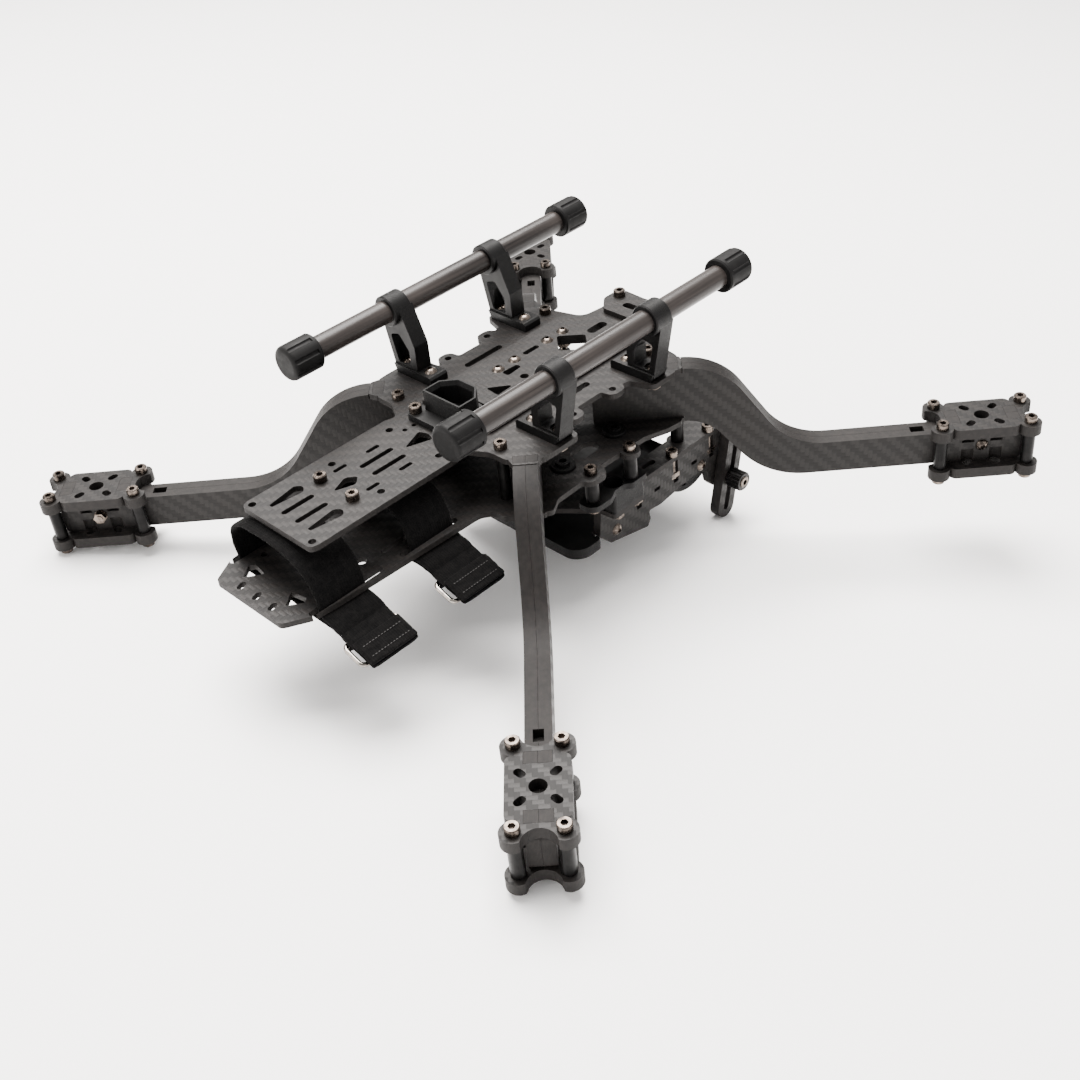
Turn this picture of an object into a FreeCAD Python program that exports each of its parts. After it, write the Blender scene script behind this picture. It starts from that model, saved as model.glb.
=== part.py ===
import FreeCAD
import Part
import math
import os

from FreeCAD import Placement, Rotation, Vector

os.makedirs("parts", exist_ok=True)

# Carbon-fibre quadcopter airframe, upside down: the landing rails are on top, +X points to the nose,
# +Y to the left of the airframe as it lies, +Z up. The origin is under the middle, at the camera bars' tips.
# Millimetres throughout.

# ---------------------------------------------------------------- driving dimensions
motor_x = 140.0                 # each motor stands at (+-140, +-140): 396 mm motor to motor on the diagonal
pod_radial = 38.0               # screw pattern of a motor pod, along the arm
pod_lateral = 17.0              # and across it
motor_plate_t = 5.0
motor_slot_reach = 8.75         # middle of a motor screw slot, from the motor's axis
arm_tip_depth = 15.5            # height of the arm between the two plates of a pod
arm_half_w = 5.0                # an arm is two 5 mm laminates side by side
laminate_gap = 0.1
screw_r = 1.5                   # M3 shank
head_r = 2.75                   # M3 cap head
head_h = 3.0
button_r = 2.85
button_h = 1.65
clear_r = 1.6                   # clearance hole for M3
post_r = 2.75

motor_top = 59.0                # top face of the upper motor plates
deck_top = motor_top + 39.3
lower_top = motor_top + 14.8
plate_t = 2.5                   # deck and lower plate
deck_under = deck_top - plate_t
lower_under = lower_top - plate_t

motor_u = motor_x * math.sqrt(2.0)      # distance of a motor from the middle, along its arm
ear_u = 67.2                            # where the deck's ears over the arms end
arm_root_u = 28.0
arm_end_u = motor_u + 14.0
tab_u = (61.0, 65.8)                    # the arm's locking tab in the deck and in the lower plate
tab_slack = 0.1
nut_relief = 4.0                        # the arm's root is this much lower under the clamps' nuts
nut_relief_u = 51.0

rail_y = 48.0
rail_z = motor_top + 69.55
rail_r = 5.0
rail_bore_r = 4.0
rail_x = (-84.0, 86.0)
cap_r = 7.75
cap_len = 15.0
cap_wall = 2.0
clamp_x = (-26.0, 31.6)
clamp_ring_r = 7.0
clamp_ring_w = 9.4
clamp_ring_back = 6.2          # the ring starts this far behind the leg's middle
clamp_leg_w = 7.8
clamp_foot_w = 9.6
clamp_foot_t = 4.0
clamp_screw_y = (31.0, 45.5)

cage_top = motor_top - 11.5             # top face of the camera cage's upper plate
cage_under = cage_top - plate_t
side_in = 38.5                          # cage side plates
side_out = 42.5
tray_top = motor_top - 24.5
tray_t = 3.0
side_screw_x = (21.5, 47.0, 72.5)
cage_post_spots = ((-11.7, 47.2), (11.0, 48.6), (58.0, 34.5))
hanger_top = motor_top + 0.8            # the rear posts stand on printed hangers
hanger_t = 2.8
hanger_bolt = (2.8, 46.6)
damper_spots = ((17.0, 34.6), (-15.3, 34.8))
nut_z = motor_top - 22.0                # middle of the square nuts in the side plates

bar_in = 43.5                           # slotted camera bars, outside the side plates
bar_out = 48.5
bar_w = 11.5
bar_lean = 14.0                         # degrees from upright, the foot towards the tail
bar_above = 26.5                        # from the knob's axis to the upper end, along the bar
bar_slot_w = 3.4
bar_end_margin = 4.0
pivot_x = 79.0
pivot_z = motor_top - 38.0
bar_below = bar_w / 2 + (pivot_z - bar_w / 2) / math.cos(math.radians(bar_lean))    # its tip stands at z = 0
knob_r = 4.7
knob_len = 7.5
run_clear = 0.06                        # radial clearance of a screw that turns in its hole

strap_w = 22.0
strap_t = 1.6
strap_x = (-128.0, -82.0)
strap_slot_y = 25.5
ring_wire_r = 1.0
ring_axis_y = -39.3                     # the sewn loop that carries a buckle ring
ring_axis_drop = 7.9                    # below the lower plate
ring_lean = 18.0
spine_t = 2.0
nut_h = 2.4

corners = {
    "front_left": (1, 1),
    "front_right": (1, -1),
    "rear_left": (-1, 1),
    "rear_right": (-1, -1),
}


# ---------------------------------------------------------------- small tools
def save(name, *shapes):
    """Write one node; several solids go in as a group."""
    shape = shapes[0] if len(shapes) == 1 else Part.makeCompound(list(shapes))
    shape.exportStep("parts/" + name + ".step")
    box = shape.BoundBox
    print("%-24s solids %2d valid %s  x %7.1f %7.1f  y %7.1f %7.1f  z %6.1f %6.1f" % (
        name, len(shape.Solids), shape.isValid(), box.XMin, box.XMax, box.YMin, box.YMax, box.ZMin, box.ZMax))


def rounded_wire(points, z=0.0):
    """A closed outline from (x, y) or (x, y, radius) corners; a corner with a radius becomes an arc."""
    corners_xy = [Vector(p[0], p[1], z) for p in points]
    radii = [p[2] if len(p) > 2 else 0.0 for p in points]
    count = len(points)
    edges = []
    starts = []
    ends = []
    middles = []
    for i in range(count):
        here = corners_xy[i]
        back = (corners_xy[i - 1] - here).normalize()
        ahead = (corners_xy[(i + 1) % count] - here).normalize()
        half = back.getAngle(ahead) / 2.0
        if radii[i] <= 0.0 or half > math.radians(89.5):
            starts.append(here)
            ends.append(here)
            middles.append(None)
            continue
        run = radii[i] / math.tan(half)
        bisector = (back + ahead).normalize()
        centre = here + bisector * (radii[i] / math.sin(half))
        starts.append(here + back * run)
        ends.append(here + ahead * run)
        middles.append(centre - bisector * radii[i])
    for i in range(count):
        if middles[i] is not None:
            edges.append(Part.Arc(starts[i], middles[i], ends[i]).toShape())
        following = starts[(i + 1) % count]
        if (following - ends[i]).Length > 1e-6:
            edges.append(Part.LineSegment(ends[i], following).toShape())
    return Part.Wire(edges)


def slab(points, z, height):
    """An outline made solid from z upwards."""
    return Part.Face(rounded_wire(points, z)).extrude(Vector(0, 0, height))


def mirrored(half):
    """A full outline from its +Y half, listed from tail to nose."""
    other = [(p[0], -p[1]) + tuple(p[2:]) for p in reversed(half) if abs(p[1]) > 1e-9]
    return list(half) + other


def cylinder(radius, height, x, y, z, axis=(0, 0, 1)):
    return Part.makeCylinder(radius, height, Vector(x, y, z), Vector(*axis))


def slot(length, width, x, y, z, height, turn=0.0):
    """A round-ended slot along X, turned about Z, ready to cut."""
    straight = max(length - width, 0.01)
    body = Part.makeBox(straight, width, height, Vector(-straight / 2, -width / 2, 0))
    ends = [cylinder(width / 2, height, s * straight / 2, 0, 0) for s in (-1, 1)]
    shape = body.fuse(ends).removeSplitter()
    shape.Placement = Placement(Vector(x, y, z), Rotation(Vector(0, 0, 1), turn))
    return shape


def hexagon(across, height, z):
    radius = across / math.sqrt(3.0)
    points = [(radius * math.cos(math.radians(60 * i)), radius * math.sin(math.radians(60 * i)))
              for i in range(6)]
    return slab(points, z, height)


def socket_screw(length):
    """An M3 cap screw, its head on top of z = 0 and its shank below."""
    head = cylinder(head_r, head_h, 0, 0, 0)
    rim = [e for e in head.Edges if e.Closed and abs(e.CenterOfMass.z - head_h) < 1e-6]
    head = head.makeChamfer(0.35, rim)
    shank = cylinder(screw_r, length, 0, 0, -length)
    return head.fuse(shank).cut(hexagon(2.5, 1.6, head_h - 1.5))


def button_screw(length):
    """An M3 button-head screw with a domed head."""
    dome_r = (button_r ** 2 + button_h ** 2) / (2 * button_h)
    dome = Part.makeSphere(dome_r, Vector(0, 0, button_h - dome_r))
    head = dome.common(cylinder(button_r, button_h, 0, 0, 0))
    shank = cylinder(screw_r, length, 0, 0, -length)
    return head.fuse(shank).cut(hexagon(2.0, 1.2, button_h - 1.1))


def placed(shape, x, y, z, axis=(0, 0, 1), spin=0.0):
    """A copy with its +Z turned to the axis."""
    copy = shape.copy()
    turn = Rotation(Vector(0, 0, 1), Vector(*axis))
    copy.Placement = Placement(Vector(x, y, z), turn.multiply(Rotation(Vector(0, 0, 1), spin)))
    return copy


def post(x, y, z_low, z_high, radius=post_r, bore_depth=6.5):
    """A round standoff, tapped at both ends."""
    body = cylinder(radius, z_high - z_low, x, y, z_low)
    low = cylinder(screw_r + 0.02, bore_depth, x, y, z_low)
    high = cylinder(screw_r + 0.02, bore_depth, x, y, z_high - bore_depth)
    return body.cut(low).cut(high)


def along_arm(shape, corner):
    """Turn a shape built along +X into an arm's direction."""
    sx, sy = corners[corner]
    copy = shape.copy()
    copy.rotate(Vector(0, 0, 0), Vector(0, 0, 1), math.degrees(math.atan2(sy, sx)))
    return copy


def arm_point(u, w, corner):
    """Row coordinates of a spot at distance u along an arm and w to its left."""
    sx, sy = corners[corner]
    angle = math.atan2(sy, sx)
    return (u * math.cos(angle) - w * math.sin(angle), u * math.sin(angle) + w * math.cos(angle))


# ---------------------------------------------------------------- arms
def arm_profile():
    """The arm's side view, in u (out along the arm) and z, listed anticlockwise from the root."""
    tip_top = motor_top - motor_plate_t
    tip_low = tip_top - arm_tip_depth
    plate_low = tip_low - motor_plate_t
    tabs = [motor_u + s * 13.0 + e * 2.7 for s in (-1, 1) for e in (-1, 1)]
    over_low = [(tabs[0], tip_low), (tabs[0], plate_low), (tabs[1], plate_low), (tabs[1], tip_low),
                (tabs[2], tip_low), (tabs[2], plate_low), (tabs[3], plate_low), (tabs[3], tip_low)]
    over_top = [(tabs[3], tip_top), (tabs[3], motor_top), (tabs[2], motor_top), (tabs[2], tip_top),
                (tabs[1], tip_top), (tabs[1], motor_top), (tabs[0], motor_top), (tabs[0], tip_top)]
    shoulder = 67.4
    points = [(arm_root_u, lower_top), (tab_u[0], lower_top), (tab_u[0], lower_under),
              (tab_u[1], lower_under),
              (tab_u[1], lower_top), (shoulder, lower_top), (shoulder, lower_under + 0.2),
              (77.0, lower_under + 0.2, 20.0), (103.5, tip_low, 36.5)]
    points += over_low + [(arm_end_u + 3.6, tip_low, 2.0), (arm_end_u + 3.6, tip_top, 2.0)] + over_top
    points += [(113.4, tip_top, 31.0), (83.7, deck_top - 0.3, 30.5), (shoulder, deck_top - 0.3),
               (shoulder, deck_under), (tab_u[1], deck_under), (tab_u[1], deck_top), (tab_u[0], deck_top),
               (tab_u[0], deck_under), (nut_relief_u, deck_under), (nut_relief_u, deck_under - nut_relief),
               (arm_root_u, deck_under - nut_relief)]
    face = Part.Face(rounded_wire(points))
    face.rotate(Vector(0, 0, 0), Vector(1, 0, 0), 90)
    return face


def make_arms():
    profile = arm_profile()
    bolt_z = motor_top - motor_plate_t - arm_tip_depth / 2
    pocket = Part.makeBox(6.0, 4.0, 4.0, Vector(167.0, -2.0, motor_top - motor_plate_t - 4.0))
    for side, w_low in (("near", laminate_gap / 2), ("far", -arm_half_w)):
        solid = profile.extrude(Vector(0, arm_half_w - laminate_gap / 2, 0))
        solid.translate(Vector(0, w_low, 0))
        solid = solid.cut(cylinder(clear_r, 20, motor_u, -10, bolt_z, (0, 1, 0)))
        solid = solid.cut(pocket)
        for s in (-1, 1):
            for t in (-1, 1):
                at = (motor_u + s * motor_slot_reach / math.sqrt(2), t * motor_slot_reach / math.sqrt(2))
                solid = solid.cut(cylinder(3.0, 6.0, at[0], at[1], motor_top - motor_plate_t - 6.0))
                solid = solid.cut(cylinder(3.0, 6.0, at[0], at[1], motor_top - motor_plate_t - arm_tip_depth))
        for corner in corners:
            name = {"near": "left", "far": "right"}[side]
            save("arm_%s_%s_ply" % (corner, name), along_arm(solid, corner))
    bolts = []
    for corner in corners:
        bolts.append(along_arm(cross_bolt(bolt_z), corner))
    save("arm_cross_bolts", *bolts)


def cross_bolt(bolt_z):
    """Button-head bolt through the arm, with a washer and a lock nut on its other side."""
    bolt = placed(button_screw(13.2), motor_u, -arm_half_w, bolt_z, (0, -1, 0))
    washer = cylinder(2.85, 0.5, motor_u, arm_half_w, bolt_z, (0, 1, 0))
    nut = placed(hexagon(4.9, 2.4, 0.5), motor_u, arm_half_w, bolt_z, (0, 1, 0))
    hole = cylinder(screw_r, 4.0, motor_u, arm_half_w - 0.5, bolt_z, (0, 1, 0))
    return bolt.fuse([washer.cut(hole), nut.cut(hole)])


# ---------------------------------------------------------------- motor pods
def pod_spots():
    return [(motor_u + s * pod_radial / 2, t * pod_lateral / 2) for s in (-1, 1) for t in (-1, 1)]


def motor_plate(z):
    """Dog-bone plate: four round ears, scooped ends, boss hole, four diagonal slots, two tab slots."""
    ear_r = 4.8
    half_mid = 11.5
    body = Part.makeBox(pod_radial, pod_lateral, motor_plate_t,
                        Vector(motor_u - pod_radial / 2, -pod_lateral / 2, z))
    middle = slab([(motor_u - 14.5, -half_mid, 3), (motor_u + 14.5, -half_mid, 3),
                   (motor_u + 14.5, half_mid, 3), (motor_u - 14.5, half_mid, 3)], z, motor_plate_t)
    ears = [cylinder(ear_r, motor_plate_t, u, w, z) for u, w in pod_spots()]
    plate = body.fuse([middle] + ears).removeSplitter()
    for s in (-1, 1):
        plate = plate.cut(cylinder(6.4, motor_plate_t, motor_u + s * 24.4, 0, z))
        tab = Part.makeBox(5.4 + 2 * tab_slack, 2 * (arm_half_w + tab_slack), motor_plate_t,
                           Vector(motor_u + s * 13.0 - 2.7 - tab_slack, -arm_half_w - tab_slack, z))
        plate = plate.cut(tab)
    plate = plate.cut(cylinder(3.25, motor_plate_t, motor_u, 0, z))
    for quarter in range(4):
        turn = 45 + 90 * quarter
        at = (motor_u + motor_slot_reach * math.cos(math.radians(turn)),
              motor_slot_reach * math.sin(math.radians(turn)))
        plate = plate.cut(slot(4.8, 3.2, at[0], at[1], z, motor_plate_t, turn))
    for u, w in pod_spots():
        plate = plate.cut(cylinder(clear_r, motor_plate_t, u, w, z))
    return plate


def make_pods():
    upper = motor_plate(motor_top - motor_plate_t)
    low_z = motor_top - 2 * motor_plate_t - arm_tip_depth
    lower = motor_plate(low_z)
    up_screw = socket_screw(10.0)
    posts = []
    heads_up = []
    heads_down = []
    for corner in corners:
        save("motor_plate_upper_" + corner, along_arm(upper, corner))
        save("motor_plate_lower_" + corner, along_arm(lower, corner))
        for u, w in pod_spots():
            x, y = arm_point(u, w, corner)
            posts.append(post(x, y, low_z + motor_plate_t, motor_top - motor_plate_t, bore_depth=5.5))
            heads_up.append(placed(up_screw, x, y, motor_top, (0, 0, 1), 20))
            heads_down.append(placed(up_screw, x, y, low_z, (0, 0, -1), 20))
    save("pod_posts", *posts)
    save("pod_screws", *(heads_up + heads_down))


# ---------------------------------------------------------------- deck and lower plate
arm_screw_spots = [(sx * 45.1, sy * 31.2) for sx in (-1, 1) for sy in (-1, 1)]
tail_screw_spots = [(-104.4, sy * 10.0) for sy in (-1, 1)]
nose_screw_spots = [(74.0, sy * 11.0) for sy in (-1, 1)]
button_spots = [(x, sy * 10.4) for x in (-5.5, 4.5, 25.0, 35.0) for sy in (-1, 1)]
holder_screw_spots = [(-50.6, sy * 13.2) for sy in (-1, 1)]
accessory_spots = [(x, sy * 38.0) for x in (-9.9, 14.2) for sy in (-1, 1)]
stack_centre_x = -79.25
stack_pitch = 30.5
stack_spots = [(stack_centre_x + sx * stack_pitch / 2, sy * stack_pitch / 2) for sx in (-1, 1)
               for sy in (-1, 1)]
tail_corner_spots = [(-131.4, sy * 18.9) for sy in (-1, 1)]


def arm_ear(z, half_w, end_u):
    """The finger of a plate that lies over an arm."""
    return slab([(35, -half_w - 5), (58, -half_w - 0.6, 4), (end_u - 3.5, -half_w, 2),
                 (end_u, -half_w + 1.8, 1),
                 (end_u, half_w - 1.8, 1), (end_u - 3.5, half_w, 2), (58, half_w + 0.6, 4), (35, half_w + 5)],
                z, plate_t)


def cut_tab_slots(plate, z):
    for corner in corners:
        tab = Part.makeBox(tab_u[1] - tab_u[0] + 2 * tab_slack, 2 * (arm_half_w + tab_slack), plate_t,
                           Vector(tab_u[0] - tab_slack, -arm_half_w - tab_slack, z))
        plate = plate.cut(along_arm(tab, corner))
    return plate


def middle_cuts(z, height):
    """The openings that go through both the spine plate and the deck under it."""
    cuts = [cylinder(clear_r, height, x, y, z) for x, y in button_spots]
    cuts.append(slab([(21.6, 0, 1.5), (30.2, 9.6, 1.5), (38.8, 0, 1.5), (30.2, -9.6, 1.5)], z, height))
    cuts.append(slot(11.0, 4.5, 46.5, 0, z, height))
    cuts.append(slab([(-20.2, -4.6, 0.8), (-10.4, -4.0, 0.8), (-19.4, 3.8, 0.8)], z, height))
    cuts.append(cylinder(1.9, height, -2.6, -2.8, z))
    cuts.append(slab([(-6.4, 3.2, 1.2), (2.2, 3.9, 1.2), (2.2, 6.7, 1.2), (-6.4, 7.4, 1.2)], z, height))
    cuts += [slot(9.0, 2.6, 14.8, s * 10.4, z, height) for s in (-1, 1)]
    return Part.makeCompound(cuts)


def make_deck():
    half = [(-134.5, 0), (-134.5, 21.4, 2.5), (-131.0, 22.3, 2), (-60.5, 22.3, 5), (-55.6, 20.4, 3),
            (-50.2, 30.0, 8),
            (-50.0, 39.0, 2), (-40.0, 50.0, 2), (-35.0, 50.4, 2), (-30.8, 50.4, 1), (-19.4, 50.4, 3),
            (-16.4, 36.6, 0.9),
            (-14.6, 36.6, 0.7), (-13.9, 42.0, 3.9), (-5.9, 42.0, 3.9), (-5.2, 35.8, 1.5), (9.4, 35.8, 1.5),
            (10.2, 42.0, 3.9), (18.2, 42.0, 3.9), (19.6, 38.8, 1), (23.0, 39.4, 2), (26.6, 50.4, 3),
            (40.0, 50.4, 1),
            (49.4, 41.0, 2), (49.4, 28.6, 5), (53.0, 15.0, 6), (65.0, 13.4, 3), (70.0, 15.6, 3),
            (79.6, 15.6, 4),
            (78.4, 6.0, 4), (78.4, 0)]
    z = deck_under
    deck = slab(mirrored(half), z, plate_t)
    ear = arm_ear(z, 6.6, ear_u)
    deck = deck.fuse([along_arm(ear, c) for c in corners]).removeSplitter()
    deck = cut_tab_slots(deck, z)
    spots = (arm_screw_spots + tail_screw_spots + nose_screw_spots + holder_screw_spots + accessory_spots
             + stack_spots + tail_corner_spots)
    spots += [(x, s * y) for x in clamp_x for y in clamp_screw_y for s in (-1, 1)]
    cuts = [cylinder(clear_r, plate_t, x, y, z) for x, y in spots]
    for s in (-1, 1):
        cuts.append(slab([(-127.6, s * 12.1 - 0.9, 0.6), (-113.6, s * 12.4 - 3.0, 2.4),
                          (-110.9, s * 12.4, 2.2),
                          (-113.6, s * 12.4 + 3.0, 2.4), (-127.6, s * 12.1 + 0.9, 0.6)], z, plate_t))
        cuts.append(slot(15.4, 2.5, -120.2, s * 4.3, z, plate_t))
        cuts.append(slot(17.0, 2.5, -80.6, s * 3.9, z, plate_t))
        cuts += [slot(6.6, 2.0, x, s * 10.2, z, plate_t) for x in (-94.4, -77.3)]
        cuts += [cylinder(1.1, plate_t, x, s * y, z) for x, y in ((-55.2, 9.7), (-60.0, 10.0))]
        cuts.append(slot(22.0, 3.2, 1.0, s * 26.5, z, plate_t))
    cuts.append(slab([(-106.2, 0, 0.6), (-97.4, 3.6, 2.5), (-93.6, 0, 1.2), (-97.4, -3.6, 2.5)], z, plate_t))
    cuts.append(slab([(-69.0, 0, 0.6), (-57.4, -4.4, 1.2), (-56.0, 0, 3.0), (-57.4, 4.4, 1.2)], z, plate_t))
    deck = deck.cut(Part.makeCompound(cuts)).cut(middle_cuts(z, plate_t))
    save("deck_plate", deck)
    half = [(-28.6, 0), (-28.6, 8.0, 2), (-36.0, 14.6, 3), (-42.0, 14.6, 2), (-42.0, 21.0, 3),
            (44.0, 21.0, 4),
            (50.6, 13.6, 4), (55.4, 8.0, 3), (55.4, 0)]
    spine = slab(mirrored(half), deck_top, spine_t).cut(middle_cuts(deck_top, spine_t))
    save("spine_plate", spine)


def make_lower_plate():
    half = [(-153.6, 0), (-153.6, 20.6, 3), (-142.5, 26.9, 3), (-132.0, 27.9, 3), (-60.0, 30.6, 6),
            (-55.4, 34.0, 4),
            (-55.2, 40.5, 2), (-40.0, 53.0, 2), (-33.0, 48.8, 6), (-18.5, 48.6, 2), (-16.8, 52.7, 4.5),
            (-6.6, 52.7, 4.5), (-5.2, 46.7, 2), (22.0, 47.6, 8), (33.0, 51.5, 4), (41.0, 52.5, 2),
            (53.0, 40.5, 2),
            (53.0, 30.0, 5), (64.0, 17.5, 8), (82.0, 17.0, 4), (84.0, 6.0, 3), (84.0, 0)]
    plate = slab(mirrored(half), lower_under, plate_t)
    ear = arm_ear(lower_under, 7.6, ear_u)
    x, y = cage_post_spots[1]
    lugs = [cylinder(4.6, plate_t, x, s * y, lower_under) for s in (-1, 1)]
    plate = plate.fuse(lugs + [along_arm(ear, c) for c in corners]).removeSplitter()
    plate = cut_tab_slots(plate, lower_under)
    z = lower_under
    cuts = []
    spots = arm_screw_spots + tail_corner_spots + nose_screw_spots
    spots += [(x, s * y) for x, y in cage_post_spots for s in (-1, 1)]
    cuts += [cylinder(clear_r, plate_t, x, y, z) for x, y in spots]
    for s in (-1, 1):
        cuts.append(slot(36.0, 3.0, -125.5, s * strap_slot_y, z, plate_t))
        cuts.append(slot(30.0, 3.0, -83.0, s * strap_slot_y, z, plate_t))
        cuts.append(slot(4.6, 2.6, -149.2, s * 10.0, z, plate_t, 20))
        cuts.append(slab([(-145.8, s * 13.6, 0.6), (-139.0, s * 8.6, 0.6), (-137.8, s * 16.4, 0.8),
                          (-140.0, s * 18.0, 0.8)], z, plate_t))
        cuts.append(cylinder(2.3, plate_t, -109.9, s * 15.6, z))
        cuts.append(slot(13.0, 2.2, -95.0, s * 18.0, z, plate_t))
        cuts.append(slot(14.0, 8.0, -1.2, s * 34.0, z, plate_t))
    cuts.append(slot(4.6, 2.6, -149.2, 0, z, plate_t, 20))
    cuts.append(slab([(-16.0, 0, 4), (2.0, 18.0, 4), (20.0, 0, 4), (2.0, -18.0, 4)], z, plate_t))
    cuts.append(slab([(32.0, -9, 3), (50.0, -9, 3), (50.0, 9, 3), (32.0, 9, 3)], z, plate_t))
    plate = plate.cut(Part.makeCompound(cuts))
    save("lower_plate", plate)


def make_deck_hardware():
    posts = [post(x, y, lower_top, deck_under, 2.5) for x, y in arm_screw_spots + nose_screw_spots]
    posts += [post(x, y, deck_under - 9.0, deck_under, 2.5, 4.0) for x, y in tail_screw_spots]
    save("deck_posts", *posts)
    socket = socket_screw(6.0)
    sockets = [placed(socket, x, y, deck_top, spin=15) for x, y in arm_screw_spots]
    sockets += [placed(socket, x, y, deck_top, spin=10) for x, y in tail_screw_spots]
    sockets += [placed(socket_screw(8.0), x, y, deck_top + plate_t, spin=10) for x, y in nose_screw_spots]
    sockets += [placed(socket, x, y, lower_under, (0, 0, -1), 15) for x,
                y in arm_screw_spots + nose_screw_spots]
    save("plate_socket_screws", *sockets)
    button = button_screw(spine_t + plate_t + nut_h + 0.6)
    save("spine_button_screws", *[placed(button, x, y, deck_top + spine_t, spin=25) for x, y in button_spots])
    nose = slab([(60.6, -9.0, 3), (68.0, -15.4, 5), (79.4, -15.4, 4), (78.4, 0, 12), (79.4, 15.4, 4),
                 (68.0, 15.4, 5),
                 (60.6, 9.0, 3)], deck_top, plate_t)
    for x, y in nose_screw_spots:
        nose = nose.cut(cylinder(clear_r, plate_t, x, y, deck_top))
    nose = nose.cut(slot(8.0, 4.0, 69.0, 0, deck_top, plate_t, 90))
    save("nose_bar", nose)


def lock_nut(x, y, z_top):
    """An M3 nut hanging from z_top, its thread a hair wider than the screw."""
    nut = hexagon(5.4, nut_h, 0)
    nut.translate(Vector(x, y, z_top - nut_h))
    return nut.cut(cylinder(screw_r + 0.02, nut_h, x, y, z_top - nut_h))


def make_deck_nuts():
    spots = [(x, s * y) for x in clamp_x for y in clamp_screw_y for s in (-1, 1)]
    spots += button_spots + holder_screw_spots
    save("deck_nuts", *[lock_nut(x, y, deck_under) for x, y in spots])


def make_connector_holder():
    """The battery connector's holder: a base with two ears and a cup whose front corners are cut off."""
    base_t = 3.0
    rise = 12.3
    cup = [(-47.2, -11.2, 0.5), (-37.8, -11.2, 0.5), (-31.8, -5.2, 0.5), (-31.8, 5.2, 0.5),
           (-37.8, 11.2, 0.5),
           (-47.2, 11.2, 0.5)]
    hollow = [(-45.4, -9.4), (-38.5, -9.4), (-33.6, -4.5), (-33.6, 4.5), (-38.5, 9.4), (-45.4, 9.4)]
    base = slab([(-54.0, -15.0, 3), (-50.0, -17.4, 3), (-44.4, -13.0, 2), (-38.0, -12.4, 1), (-30.4, -5.6, 1),
                 (-30.4, 5.6, 1), (-38.0, 12.4, 1), (-44.4, 13.0, 2), (-50.0, 17.4, 3), (-54.0, 15.0, 3)],
                deck_top, base_t)
    body = base.fuse(slab(cup, deck_top, rise)).removeSplitter()
    lead = Part.makeLoft([rounded_wire(hollow, deck_top + rise - 2.0),
                          rounded_wire([(-46.4, -10.4), (-38.1, -10.4), (-32.6, -4.9), (-32.6, 4.9),
                                        (-38.1, 10.4),
                                        (-46.4, 10.4)], deck_top + rise)], True, True)
    body = body.cut(slab(hollow, deck_top + 1.5, rise)).cut(lead)
    for y in (-4.6, 4.6):
        body = body.cut(cylinder(3.0, 3.0, -41.0, y, deck_top - 0.5))
    for x, y in holder_screw_spots:
        body = body.cut(cylinder(clear_r, base_t, x, y, deck_top))
        body = body.cut(cylinder(head_r + 0.3, 8.0, x, y, deck_top + base_t))
    save("connector_holder", body)
    screw = socket_screw(base_t + plate_t + nut_h + 0.6)
    save("holder_screws", *[placed(screw, x, y, deck_top + base_t, spin=10) for x, y in holder_screw_spots])


# ---------------------------------------------------------------- landing rails
def in_yz(points, x, width):
    """A (y, z) outline made solid along X, from x - width/2 to x + width/2."""
    flat = slab(points, 0, width)
    turn = Rotation(Vector(0, 1, 0), Vector(0, 0, 1), Vector(1, 0, 0), "ZXY")
    flat.Placement = Placement(Vector(x - width / 2, 0, 0), turn)
    return flat


def rail_clamp(x):
    """One clamp for the +Y rail: a ring round the tube, a leaning leg with a window, and a foot."""
    base = deck_top
    knee = (34.8, base + 15.9)
    shoulder = (41.5, rail_z + 2.4)
    outer = [(49.2, base + 2.0), (54.8, rail_z - 1.0), (rail_y, rail_z), shoulder, (knee[0], knee[1], 1.2),
             (knee[0], base + 2.0)]
    window = [(46.9, base + 5.2, 1.5), (49.7, base + 18.2, 1.5), (44.0, base + 20.0, 2.0),
              (38.8, base + 13.0, 1.5), (38.8, base + 5.2, 1.0)]
    foot = [(25.8, base), (47.9, base), (49.6, base + clamp_foot_t), (26.8, base + clamp_foot_t, 0.8),
            (25.8, base + clamp_foot_t - 1.0)]
    ring = cylinder(clamp_ring_r, clamp_ring_w, x - clamp_ring_back, rail_y, rail_z, (1, 0, 0))
    rims = [e for e in ring.Edges if e.Closed]
    ring = ring.makeChamfer(0.5, rims)
    leg = in_yz(outer, x, clamp_leg_w)
    body = leg.fuse([ring, in_yz(foot, x, clamp_foot_w)]).removeSplitter()
    body = body.cut(in_yz(window, x, clamp_foot_w))
    body = body.cut(cylinder(rail_r + 0.02, 30, x - 15, rail_y, rail_z, (1, 0, 0)))
    for y in clamp_screw_y:
        body = body.cut(cylinder(clear_r, clamp_foot_t, x, y, base))
        body = body.cut(cylinder(button_r + 0.5, 9.0, x, y, base + clamp_foot_t))
    rise = Vector(0, shoulder[0] - knee[0], shoulder[1] - knee[1])
    outward = Vector(0, -rise.z, rise.y)
    middle = Vector(x, knee[0], knee[1]) + rise * 0.72
    slant = slot(8.0, 3.0, 0, 0, -3, 8.0)
    slant.Placement = Placement(middle, Rotation(rise, Vector(1, 0, 0), outward, "ZXY"))
    return body.cut(slant)


def mirror_y(shape):
    return shape.mirror(Vector(0, 0, 0), Vector(0, 1, 0))


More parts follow.
